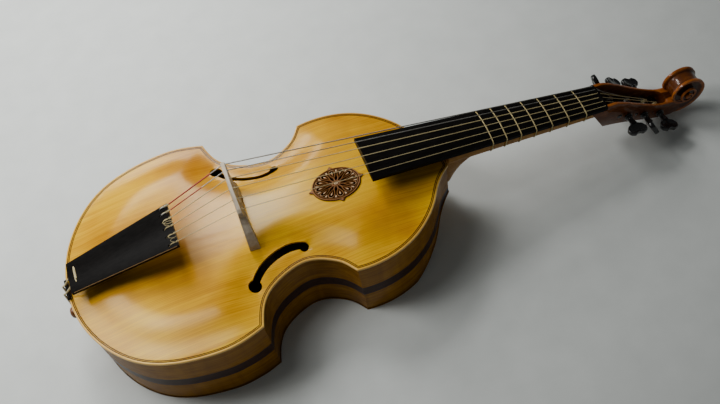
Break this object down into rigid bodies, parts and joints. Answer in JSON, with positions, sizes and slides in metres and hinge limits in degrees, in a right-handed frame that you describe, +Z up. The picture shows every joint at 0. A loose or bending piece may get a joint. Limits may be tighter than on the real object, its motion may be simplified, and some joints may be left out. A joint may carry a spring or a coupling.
{
  "type": "viola da gamba",
  "caption": "Bowed and fretted bass viol with carved rosette, C-shaped sound holes, tied frets, side pegs and scroll, lying on its flat back.",
  "frame": {"origin": "on the flat back's outside face, on the centre line, straight below the bridge", "axes": "+X from the bridge to the scroll, +Y to the bass side, +Z up out of the top; it lies on its back"},
  "size_m": [1.228, 0.4232, 0.2775],
  "materials": {
    "spruce_top": "glossy golden-amber varnish over straight spruce grain",
    "maple_body": "glossy golden-brown varnish over maple",
    "dark_inlay": "dark wood under varnish",
    "carved_rosette": "hand-carved, brown in the hollows and cream on the edges",
    "inner_wood": "bare wood, planed",
    "maple_neck": "satin golden varnish",
    "head_wood": "glossy reddish-brown varnish",
    "ebony": "black, polished",
    "peg_black": "black, glossy",
    "bridge_maple": "bare pale maple",
    "button_wood": "glossy brown",
    "gut": "translucent yellowish gut",
    "wound_string": "close-wound metal"
  },
  "bodies": {
    "root_body": {"top_plate": "spruce_top", "back_lower": "maple_body", "back_upper": "maple_body", "rib_lower_treble": "maple_body", "rib_lower_bass": "maple_body", "rib_waist_treble": "maple_body", "rib_waist_bass": "maple_body", "rib_upper_treble": "maple_body", "rib_upper_bass": "maple_body", "rib_bands": "dark_inlay", "purfling": "dark_inlay", "rosette": "carved_rosette", "lining_top": "inner_wood", "lining_back": "inner_wood", "tail_block": "inner_wood", "neck_block": "inner_wood", "corner_blocks": "inner_wood", "bass_bar": "inner_wood", "sound_post": "inner_wood", "post_plate": "inner_wood", "back_braces": "inner_wood", "neck": "maple_neck", "fingerboard": "ebony", "nut": "ebony", "pegbox_scroll": "head_wood", "bridge": "bridge_maple", "tailpiece": "ebony", "tailgut": "gut", "saddle": "ebony", "end_button": "button_wood", "string_1": "gut", "string_2": "gut", "string_3": "gut", "string_4": "gut", "string_5": "wound_string", "string_6": "wound_string"},
    "peg_1_body": {"peg_1": "peg_black", "winding_1": "gut"},
    "peg_2_body": {"peg_2": "peg_black", "winding_2": "gut"},
    "peg_3_body": {"peg_3": "peg_black", "winding_3": "gut"},
    "peg_4_body": {"peg_4": "peg_black", "winding_4": "gut"},
    "peg_5_body": {"peg_5": "peg_black", "winding_5": "wound_string"},
    "peg_6_body": {"peg_6": "peg_black", "winding_6": "wound_string"},
    "fret_1_body": {"fret_1": "gut"},
    "fret_2_body": {"fret_2": "gut"},
    "fret_3_body": {"fret_3": "gut"},
    "fret_4_body": {"fret_4": "gut"},
    "fret_5_body": {"fret_5": "gut"},
    "fret_6_body": {"fret_6": "gut"},
    "fret_7_body": {"fret_7": "gut"}
  },
  "joints": [
    {"name": "peg_1_turn", "type": "hinge", "parent": "root_body", "child": "peg_1_body", "pos_m": [0.7182, 0, 0.0781], "axis": [0, 1, 0], "continuous": true},
    {"name": "peg_2_turn", "type": "hinge", "parent": "root_body", "child": "peg_2_body", "pos_m": [0.7546, 0, 0.0603], "axis": [0, 1, 0], "continuous": true},
    {"name": "peg_3_turn", "type": "hinge", "parent": "root_body", "child": "peg_3_body", "pos_m": [0.791, 0, 0.0425], "axis": [0, 1, 0], "continuous": true},
    {"name": "peg_4_turn", "type": "hinge", "parent": "root_body", "child": "peg_4_body", "pos_m": [0.7728, 0, 0.0514], "axis": [0, 1, 0], "continuous": true},
    {"name": "peg_5_turn", "type": "hinge", "parent": "root_body", "child": "peg_5_body", "pos_m": [0.7364, 0, 0.0692], "axis": [0, 1, 0], "continuous": true},
    {"name": "peg_6_turn", "type": "hinge", "parent": "root_body", "child": "peg_6_body", "pos_m": [0.7, 0, 0.087], "axis": [0, 1, 0], "continuous": true},
    {"name": "fret_1_slide", "type": "slide", "parent": "root_body", "child": "fret_1_body", "axis": [0.9846, 0, -0.1749], "range_m": [0, 0.005]},
    {"name": "fret_2_slide", "type": "slide", "parent": "root_body", "child": "fret_2_body", "axis": [0.9846, 0, -0.1749], "range_m": [0, 0.005]},
    {"name": "fret_3_slide", "type": "slide", "parent": "root_body", "child": "fret_3_body", "axis": [0.9846, 0, -0.1749], "range_m": [0, 0.005]},
    {"name": "fret_4_slide", "type": "slide", "parent": "root_body", "child": "fret_4_body", "axis": [0.9846, 0, -0.1749], "range_m": [0, 0.005]},
    {"name": "fret_5_slide", "type": "slide", "parent": "root_body", "child": "fret_5_body", "axis": [0.9846, 0, -0.1749], "range_m": [0, 0.005]},
    {"name": "fret_6_slide", "type": "slide", "parent": "root_body", "child": "fret_6_body", "axis": [0.9846, 0, -0.1749], "range_m": [0, 0.005]},
    {"name": "fret_7_slide", "type": "slide", "parent": "root_body", "child": "fret_7_body", "axis": [0.9846, 0, -0.1749], "range_m": [0, 0.005]}
  ]
}
